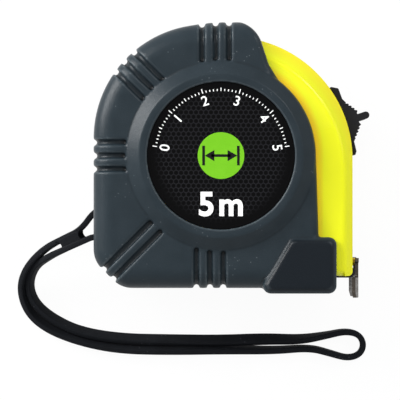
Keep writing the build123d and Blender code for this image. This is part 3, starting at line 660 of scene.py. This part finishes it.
# Label print: thick screen ink on the film. A scale of plain numbers runs round the top, a lime disc in the
# middle carries a measuring arrow, and the tape's length stands below.
scale_radius, tick_radius = 0.0140, 0.0158
scale_from, scale_to, scale_last, scale_parts = 172.0, 8.0, 5, 10
number_size, number_weight = 0.0034, 0.00003
number_middle = 0.36  # of a figure's size, above its foot
length_size, length_weight, length_low = 0.0081, 0.00022, -0.0146
ink_thickness, print_weld = 0.00003, 1e-6
tick_width = 0.00022
tick_lengths = (0.0011, 0.0008, 0.0005)  # at a number, half-way and between
lime_radius, lime_sides = 0.0057, 96
arrow_half, arrow_head, arrow_line = 0.0036, 0.0012, 0.00065
arrow_flare, arrow_bar = 1.3, 4  # the point's radius and the end bar's height, in heads


def lettering(work, text, size, weight, matrix):
    """Flat figures, centred on their place and added to a bmesh."""
    words = bpy.data.curves.new(text, "FONT")
    words.body = text
    words.size = size
    words.offset = weight
    words.align_x = "CENTER"
    words.resolution_u = 6
    words.space_word = 0.4
    letters = mesh_of(words)
    letters.transform(matrix)
    work.from_mesh(letters)


def bar(work, width, height, matrix):
    """A flat upright bar, centred on its place and added to a bmesh."""
    shape = Matrix.Diagonal((width, height, 1, 1))
    bmesh.ops.create_grid(work, x_segments=1, y_segments=1, size=0.5, matrix=matrix @ shape)


def ink_layer(name, work, material, level):
    """Flat print given the thickness of its ink and laid on the film."""
    bmesh.ops.remove_doubles(work, verts=work.verts, dist=print_weld)
    thicken(work, ink_thickness)
    for face in work.faces:
        face.smooth = False
    bmesh.ops.translate(work, verts=work.verts, vec=(0, 0, label_high.z + level * ink_thickness))
    return new_piece(name, mesh_from(work, name), material, "case")


def printed_ink(name, dark, light):
    """Screen ink: an almost even colour with a faint cloud and an eggshell gloss."""
    return grained(name, dark=dark, light=light, speck=light, rough=(0.38, 0.5), relief=0.1, fineness=4000,
                   patch=300, dust=0.1, Specular_IOR_Level=0.12)


white_ink = printed_ink("white_ink", dark=(0.88, 0.88, 0.87), light=(0.94, 0.94, 0.93))
figures = bmesh.new()
for part in range(scale_last * scale_parts + 1):
    bearing = radians(scale_from + (scale_to - scale_from) * part / (scale_last * scale_parts))
    upright = Matrix.Rotation(bearing - pi / 2, 4, "Z")
    kind = 0 if part % scale_parts == 0 else 1 if part % (scale_parts // 2) == 0 else 2
    middle = tick_radius + tick_lengths[kind] / 2
    bar(figures, tick_width, tick_lengths[kind], upright @ Matrix.Translation((0, middle, 0)))
    if kind == 0:
        lettering(figures, str(part // scale_parts), number_size, number_weight,
                  upright @ Matrix.Translation((0, scale_radius - number_size * number_middle, 0)))
lettering(figures, "5 m", length_size, length_weight, Matrix.Translation((0, length_low, 0)))
ink_layer("white_figures", figures, white_ink, 0)

lime_ink = printed_ink("lime_ink", dark=(0.135, 0.42, 0.012), light=(0.165, 0.47, 0.018))
lime = bmesh.new()
bmesh.ops.create_circle(lime, cap_ends=True, segments=lime_sides, radius=lime_radius)
ink_layer("lime_disc", lime, lime_ink, 0)

black_ink = printed_ink("black_ink", dark=(0.004, 0.004, 0.004), light=(0.007, 0.007, 0.007))
arrow = bmesh.new()
bar(arrow, 2 * (arrow_half - arrow_head), arrow_line, Matrix())
for side in (1, -1):
    bar(arrow, arrow_line, arrow_bar * arrow_head,
        Matrix.Translation((side * (arrow_half + arrow_line), 0, 0)))
    bmesh.ops.create_circle(arrow, cap_ends=True, segments=3, radius=arrow_head * arrow_flare,
                            matrix=Matrix.Translation((side * (arrow_half - arrow_head), 0, 0))
                            @ Matrix.Rotation(-side * pi / 2, 4, "Z"))
ink_layer("measuring_arrow", arrow, black_ink, 1)

# Stage: a pale floor that keeps the soft shadow, under a surround that is bright only towards the upper
# left. Soft boxes give the light: key and window on the upper left, one overhead, a fill on the right, one in
# front and a small one for the right edge. The camera and mirrors see floor and surround as white.
floor_half = 6.0
floor_seen, floor_bounce = (0.9, 0.9, 0.9, 1), (0.5, 0.5, 0.5, 1)
floor_glow = 0.95  # the rest of the floor's white comes from the lamps, and so keeps the shadow
white = (1, 1, 1, 1)
bright_side = (-0.75, 0.66, 0.05)
surround_tint, surround_dim, surround_bright = (0.92, 0.96, 1.0, 1), 0.14, 0.8
light_aim = (0, 0, 0.02)


def backdrop_rays(tree):
    """1 for the rays that see the backdrop: the camera's, reflected ones and those through clear pieces."""
    path = add_node(tree, "LightPath").outputs
    seen = maths(tree, "MAXIMUM", path["Is Camera Ray"], path["Is Glossy Ray"])
    return maths(tree, "MAXIMUM", seen, path["Is Transmission Ray"])


ground = bmesh.new()
bmesh.ops.create_grid(ground, x_segments=1, y_segments=1, size=floor_half)
floor_mesh = mesh_from(ground, "floor")
floor = bpy.data.objects.new("floor", floor_mesh)
scene.collection.objects.link(floor)
paper = bpy.data.materials.new("pale_floor")
paper.use_nodes = True
tree = paper.node_tree
tree.nodes.clear()
camera_ray = add_node(tree, "LightPath").outputs["Is Camera Ray"]
shade = mixed(tree, camera_ray, floor_bounce, floor_seen)
matt = add_node(tree, "BsdfDiffuse", {"Color": shade}).outputs[0]
glow = add_node(tree, "Emission", {"Color": white, "Strength": 1.0}).outputs[0]
share = maths(tree, "MULTIPLY", backdrop_rays(tree), floor_glow)
both = add_node(tree, "MixShader", {0: share, 1: matt, 2: glow}).outputs[0]
tree.links.new(both, add_node(tree, "OutputMaterial").inputs["Surface"])
floor_mesh.materials.append(paper)

world = bpy.data.worlds.new("studio")
world.use_nodes = True
scene.world = world
tree = world.node_tree
tree.nodes.clear()
backdrop = add_node(tree, "Background", {"Color": white, "Strength": 1.0}).outputs[0]
way = add_node(tree, "TexCoord").outputs["Generated"]
toward = vector_maths(tree, "DOT_PRODUCT", way, bright_side)
strength = ramp(tree, toward, (0.0, 0.9), (surround_dim, surround_bright))
surround = add_node(tree, "Background", {"Color": surround_tint, "Strength": strength}).outputs[0]
pick = add_node(tree, "MixShader", {0: backdrop_rays(tree), 1: surround, 2: backdrop}).outputs[0]
tree.links.new(pick, add_node(tree, "OutputWorld").inputs["Surface"])


def soft_light(name, place, size, power, mirrored=True):
    """A square soft box turned to the tape, left out of reflections if asked."""
    lamp = bpy.data.lights.new(name, "AREA")
    lamp.size = size
    lamp.energy = power
    holder = bpy.data.objects.new(name, lamp)
    holder.location = place
    holder.rotation_euler = (Vector(light_aim) - Vector(place)).to_track_quat("-Z", "Y").to_euler()
    holder.visible_camera = False
    holder.visible_glossy = mirrored
    scene.collection.objects.link(holder)


soft_light("key", place=(-0.62, 0.46, 0.52), size=0.45, power=5.0)
soft_light("window", place=(-0.85, 0.42, 0.22), size=0.55, power=13.0)
soft_light("overhead", place=(-0.12, 0.15, 1.3), size=0.5, power=4.4, mirrored=False)
soft_light("fill", place=(0.75, 0.35, 0.55), size=0.5, power=3.4, mirrored=False)
soft_light("front", place=(0.25, -1.0, 0.35), size=0.7, power=3.5, mirrored=False)
soft_light("edge", place=(0.45, 0.42, 0.62), size=0.10, power=1.3)
